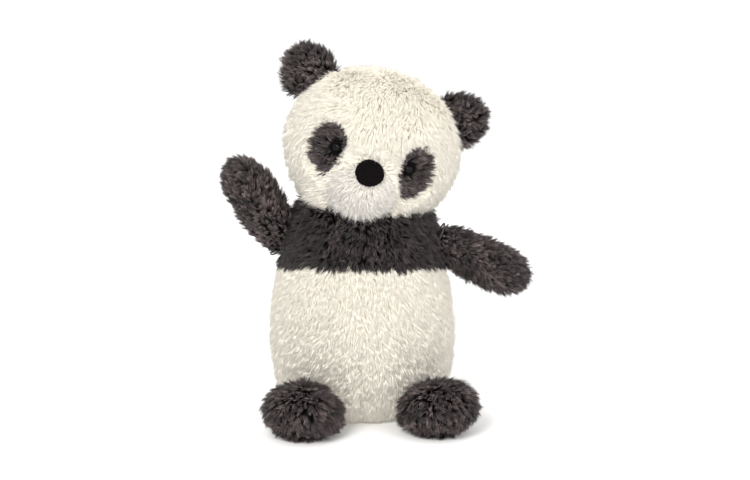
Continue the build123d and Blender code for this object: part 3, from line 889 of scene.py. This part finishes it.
def grow_head():
    p, n = roots(head, DENSE * 1.05)
    h = to_head(p)
    neck = (h[:, 2] < -33.0) & (np.hypot(p[:, 0] - 2.0, p[:, 1] + 4.0) < 25)
    nose_d = np.hypot((h[:, 0] - NOSE_C[0]) / NOSE_RX, (h[:, 2] - NOSE_C[2]) / NOSE_RZ)
    at_nose = (nose_d < 0.74) & (h[:, 1] < -30)
    eye_d = np.minimum(*(np.linalg.norm(h - EYE_C[side], axis=1) for side in SIDES))
    keep = ~neck & ~at_nose & (eye_d > 3.9)
    p, n, h, nose_d, eye_d = split(keep, p, n, h, nose_d, eye_d)

    nap, crown = head_nap(p, h)
    # the dye lines are met where the tufts reach to, with a slightly ragged edge
    normal = turn_to_head(n)
    reach = h + unit(nap - (nap * normal).sum(1, keepdims=True) * normal) * 2.6
    patch = patch_side(reach) - 0.3 - 0.45 * wave(p, scale=4.0, seed=31)[:, 0]
    muzzle = muzzle_side(reach) - 0.5 * wave(p, scale=5.0, seed=35)[:, 0]
    for side in SIDES:                 # the pile parts round each eye
        from_eye = h - EYE_C[side]
        parting = bell(np.linalg.norm(from_eye, axis=1), width=5.5)[:, None]
        nap = nap * (1 - parting) + unit(from_eye * NO_DEPTH) * parting

    # clipped round the eyes, shorter on the muzzle, longer under the chin and on the crown
    length = LONG * (1 - 0.72 * bell(eye_d, width=6.8))
    chin = smooth(h[:, 2], start=-20, end=-32) * (h[:, 1] < -6)
    length *= np.where(muzzle < 0, 0.86, 1.0) * (1 + 0.50 * chin)
    length *= 1 + 0.15 * crown
    # shorter beside the nose, on the patches and just outside them
    length *= 1 - 0.30 * bell(np.maximum(nose_d - 0.9, 0), width=0.28)
    length *= np.where(patch < 0, 0.86, 1.0)
    length *= 1 - 0.35 * bell(np.abs(patch), width=2.5) * (patch > 0)

    is_patch = patch < 0
    is_muzzle = (muzzle < 0) & ~is_patch
    plain = ~is_patch & ~is_muzzle
    left, face = h[:, 0] > 0, h[:, 1] < HEAD_SEAM_Y
    panels = [
        ("face_left_pile", "face_panel_left", face & left & plain, CREAM),
        ("face_right_pile", "face_panel_right", face & ~left & plain, CREAM),
        ("head_back_left_pile", "head_panel_back_left", ~face & left, CREAM),
        ("head_back_right_pile", "head_panel_back_right", ~face & ~left, CREAM),
        ("muzzle_pile", "muzzle_panel", is_muzzle, WHITE),
        ("eye_patch_left_pile", "eye_patch_left", is_patch & left, CHARCOAL),
        ("eye_patch_right_pile", "eye_patch_right", is_patch & ~left, CHARCOAL),
    ]
    grow_panels("head", panels, p, n, turn_from_head(nap), length, first_seed=200,
                dark=PATCH_GROWTH, pale=FACE_GROWTH)


def grow_limb(limb, side, halves, p, n, nap, length, first_seed, growth, on_floor=False):
    """Both panels of an ear, arm or foot. halves: their two names; is_first: the first's roots."""
    body = f"{limb}_{side}"
    (first, is_first), second = halves
    panels = [(f"{body}_{name}_pile", f"{body}_{name}", own, CHARCOAL)
              for name, own in ((first, is_first), (second, ~is_first))]
    seed = first_seed + (9 if side == "left" else 0)
    grow_panels(body, panels, p, n, nap, length, seed, dark=growth, on_floor=on_floor)


def grow_ear(side):
    p, n = roots(ears[side], LIMB_DENSE)
    h = to_head(p)
    sunk = ellipsoid_distance(h, (49.5 - BACK, 42.5 - BACK, 42.5 - BACK)) < -2.5
    p, n, h = split(~sunk, p, n, h)
    out = unit((h - np.array([0.0, 0.0, 6.0])) * NO_DEPTH)
    nap = turn_from_head(out + 0.28 * wave(p, scale=16.0, seed=41))
    front = h[:, 1] < EAR_C[side][1] - EAR_SEAM
    grow_limb("ear", side, (("front", front), "back"), p, n, nap, np.full(len(p), 7.6),
              first_seed=300, growth=EAR_GROWTH)


def grow_arm(side):
    p, n = roots(arms[side], LIMB_DENSE)
    along = (p - SHOULDER[side]) @ ARM_DIR[side]
    p, n, along = split(along > -3.0, p, n, along)
    # along the arm, turning down at its tip
    nap = ARM_DIR[side] + 0.30 * wave(p, scale=20.0, seed=51) + np.array([0, 0, -0.15])
    tip = smooth(along, start=44, end=54)[:, None]
    nap = nap * (1 - 0.7 * tip) + tip * 0.7 * np.array([0, 0, -0.6])
    front = p[:, 1] < SHOULDER[side][1]
    length = LIMB_LONG * (0.6 + 0.4 * smooth(along, start=-3, end=8))
    grow_limb("arm", side, (("front", front), "back"), p, n, nap, length,
              first_seed=340, growth=ARM_GROWTH)


def grow_foot(side):
    p, n = roots(feet[side], LIMB_DENSE)
    flat = (p[:, 2] < 2.2) & (n[:, 2] < -0.7)
    thinned = flat & (rng.random(len(p)) < 0.5)
    keep = (np.linalg.norm(p - HEEL_C[side], axis=1) > 5.0) & ~thinned
    p, n, flat = split(keep, p, n, flat)
    h = to_foot(side, p)
    out = unit(h * np.array([1.0, 1.0, 0.0]))
    nap = out + np.array([0, -0.3, -0.45]) + 0.3 * wave(p, scale=22.0, seed=61)
    above_seam = ~(h[:, 2] < SOLE_Z)
    length = np.where(flat, 3.5, LIMB_LONG) * (1 - 0.25 * bell(h[:, 2] - SOLE_Z, width=1.6))
    grow_limb("foot", side, (("upper", above_seam), "sole"), p, n, nap, length,
              first_seed=380, growth=FOOT_GROWTH, on_floor=True)


grow_torso()
grow_head()
for side in SIDES:
    grow_ear(side)
    grow_arm(side)
    grow_foot(side)


# ---------------------------------------------------------------- nose
def make_nose(suede):
    """A domed suede disc with a slightly wandering outline, drawn in by stitches at its edge."""
    rings, segments, stitches = 26, 176, 22
    cut_radius = 8.2                   # turns the outline's wander into a share of the radius
    uneven = np.random.default_rng(7).normal(0, 0.16, stitches)

    def outline(angle):
        place = angle / (2 * math.pi) * stitches
        i = math.floor(place) % stitches
        part = place - math.floor(place)
        wander = uneven[i] * (1 - part) + uneven[(i + 1) % stitches] * part
        dip = 0.22 * (0.5 + 0.5 * math.cos(2 * math.pi * place)) ** 3
        return 1.0 + (wander - dip) / cut_radius

    def point(t, angle):
        o = 1 + (outline(angle) - 1) * min(t / 0.55, 1)
        x = NOSE_RX * t * math.cos(angle) * o
        z = NOSE_RZ * t * math.sin(angle) * o
        dome = 3.4 * math.sqrt(1 - t ** 2.6)
        pucker = 0.30 * (t ** 6) * (0.5 + 0.5 * math.cos(angle * stitches)) ** 2
        grain = 0.05 * noise.noise(Vector((x * 2.1, z * 2.1, 1.7)))
        grain += 0.22 * noise.noise(Vector((x * 0.24, z * 0.24, 4.1)))
        y = 0.3 - dome + pucker - grain * (1 - t ** 4)
        return NOSE_C[0] + x, NOSE_C[1] + y, NOSE_C[2] + z

    verts = [point(0, 0)]
    for i in range(1, rings + 1):
        for k in range(segments):
            verts.append(point((i / rings) ** 0.8, 2 * math.pi * k / segments))
    # the turned edge, tucked under into the pile
    for x, y, z in verts[-segments:]:
        verts.append((NOSE_C[0] + (x - NOSE_C[0]) * 0.95, y + 5.0,
                      NOSE_C[2] + (z - NOSE_C[2]) * 0.96))
    verts.append((NOSE_C[0], NOSE_C[1] + 6.0, NOSE_C[2]))
    faces = []
    for k in range(segments):
        j = (k + 1) % segments
        faces.append((0, 1 + k, 1 + j))
        for i in range(rings):
            a = 1 + i * segments
            b = a + segments
            faces.append((a + k, b + k, b + j, a + j))
        a = 1 + rings * segments
        faces.append((len(verts) - 1, a + j, a + k))
    ob = new_mesh("nose_suede_disc", from_head(np.array(verts)), faces)
    recalc_normals(ob)
    shade_smooth(ob.data)
    ob.data.materials.append(suede)
    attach(ob, "head")
    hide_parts("nose_cover")


SUEDE = cloth_material("black_suede", dark=(0.0016, 0.0010, 0.0013),
                       light=(0.0050, 0.0036, 0.0042), scale=2600.0, rough=1.0, bump=0.4,
                       sheen=0.0, specular=0.07)
make_nose(SUEDE)


# ---------------------------------------------------------------- materials on the frame's nodes
def bead_material():
    made, tree, principled = new_material("bead_gloss")
    speckle = object_noise(tree, scale=700)
    set_inputs(principled, {
        "Roughness": grey_ramp(tree, speckle, (0.35, 0.03), (0.75, 0.07)),
        "Base Color": add_ramp(tree, speckle, [
            (0.3, (0.0015, 0.0013, 0.0013)), (0.8, (0.0045, 0.0038, 0.0036))]),
        "Specular IOR Level": 0.12,
    })
    return made


BEAD = bead_material()
FILL = cloth_material("fibre_filling", dark=(0.80, 0.80, 0.78), light=(0.93, 0.93, 0.92),
                      scale=260.0, bump=0.9)
LINING = cloth_material("cotton_lining", dark=(0.66, 0.64, 0.60), light=(0.80, 0.78, 0.74),
                        scale=1500.0, bump=0.6)
PELLET = cloth_material("plastic_pellets", dark=(0.72, 0.72, 0.70), light=(0.84, 0.84, 0.82),
                        scale=400.0, rough=0.42, bump=0.08, sheen=0.0)
WASHER = cloth_material("washer_plastic", dark=(0.78, 0.78, 0.76), light=(0.88, 0.88, 0.86),
                        scale=500.0, rough=0.38, bump=0.06, sheen=0.0)
DARK_THREAD, NOSE_THREAD, CREAM_THREAD = [
    cloth_material(name, dark=dark, light=light, scale=3200.0, bump=0.7)
    for name, dark, light in (
        ("dark_thread", (0.028, 0.024, 0.026), (0.055, 0.048, 0.050)),
        ("nose_thread", (0.006, 0.0055, 0.006), (0.016, 0.015, 0.016)),
        ("cream_thread", (0.68, 0.62, 0.53), (0.82, 0.77, 0.68)))]

NODE_MATERIALS = {
    "eye_left": BEAD,
    "eye_right": BEAD,
    "bean_pellets": PELLET,
    "bean_pouch": LINING,
    "nose_stitches": NOSE_THREAD,
    "back_closing_stitches": CREAM_THREAD,
}


def node_material(name):
    if name in NODE_MATERIALS:
        return NODE_MATERIALS[name]
    if name.startswith("eye_washer"):
        return WASHER
    if "stitches" in name or "thread" in name:
        return DARK_THREAD
    if "stuffing" in name or "padding" in name:
        return FILL
    if name.startswith(("ear_", "arm_", "foot_", "eye_patch")):
        return DARK_BACKING
    if "panel" in name:
        return DARK_BACKING if name.startswith("chest") else BACKING
    return SUEDE


for name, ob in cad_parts.items():
    materials = ob.data.materials
    if materials:
        for i in range(len(materials)):
            materials[i] = node_material(name)
    else:
        materials.append(node_material(name))


# ---------------------------------------------------------------- floor, light, camera
def make_floor():
    made, tree, principled = new_material("pale_floor")
    set_inputs(principled, {
        "Base Color": (0.93, 0.93, 0.93, 1),       # the plain colour, if the noise is unlinked
        "Roughness": 0.9,
        "Specular IOR Level": 0.0,
    })
    tone = grey_ramp(tree, object_noise(tree, scale=3), (0.3, 0.965), (0.7, 0.985))
    set_inputs(principled, {"Base Color": tone})
    bm = bmesh.new()
    bmesh.ops.create_grid(bm, x_segments=1, y_segments=1, size=9.0)
    me = bpy.data.meshes.new("studio_floor")
    bm.to_mesh(me)
    bm.free()
    floor = add_object("studio_floor", me)
    floor.data.materials.append(made)


def make_world():
    """A white surround, dimmer in front of the toy and a little above it."""
    world = bpy.data.worlds.new("studio")
    scene.world = world
    world.use_nodes = True
    tree = world.node_tree
    place = add_node(tree, "ShaderNodeTexCoord").outputs["Generated"]
    facing = add_node(tree, "ShaderNodeVectorMath", operation="DOT_PRODUCT",
                      inputs={0: place, 1: (0.0, -0.97, 0.242)})
    strength = add_node(tree, "ShaderNodeMapRange", {
        "From Min": 0.25, "From Max": 0.75, "To Min": 1.22, "To Max": 0.30,
        "Value": facing.outputs["Value"]})
    set_inputs(tree.nodes["Background"], {
        "Color": (1.0, 1.0, 1.0, 1), "Strength": strength.outputs[0]})


def aim(ob, place, target):
    ob.location = place
    ob.rotation_euler = (Vector(target) - Vector(place)).to_track_quat("-Z", "Y").to_euler()


def soft_light(name, place, target, size, power, colour=(1, 1, 1)):
    data = bpy.data.lights.new(name, "AREA")
    data.shape = "DISK"
    data.size = size
    data.energy = power
    data.color = colour
    aim(add_object(name, data), place, target)


def make_camera():
    target = Vector((0.00767, 0.0, 0.1008))
    elevation, distance = math.radians(14.0), 2.0
    data = bpy.data.cameras.new("camera")
    data.sensor_width = 36
    data.lens = 162.7
    data.clip_end = 50
    camera = add_object("camera", data)
    offset = Vector((0, -math.cos(elevation), math.sin(elevation))) * distance
    aim(camera, target + offset, target)
    scene.camera = camera


# places and sizes in metres
make_floor()
make_world()
soft_light("key", place=(-0.6, -1.55, 1.1), target=(0, 0, 0.11), size=1.0, power=32.0,
           colour=(1.0, 0.985, 0.96))
soft_light("fill", place=(1.0, -1.4, 0.6), target=(0, 0, 0.11), size=1.2, power=15.0,
           colour=(1.0, 0.99, 0.975))
soft_light("glint", place=(-0.35, -1.2, 0.95), target=(0, -0.04, 0.16), size=0.06, power=0.9)
make_camera()
scene.view_settings.view_transform = "Standard"

bpy.context.view_layer.update()
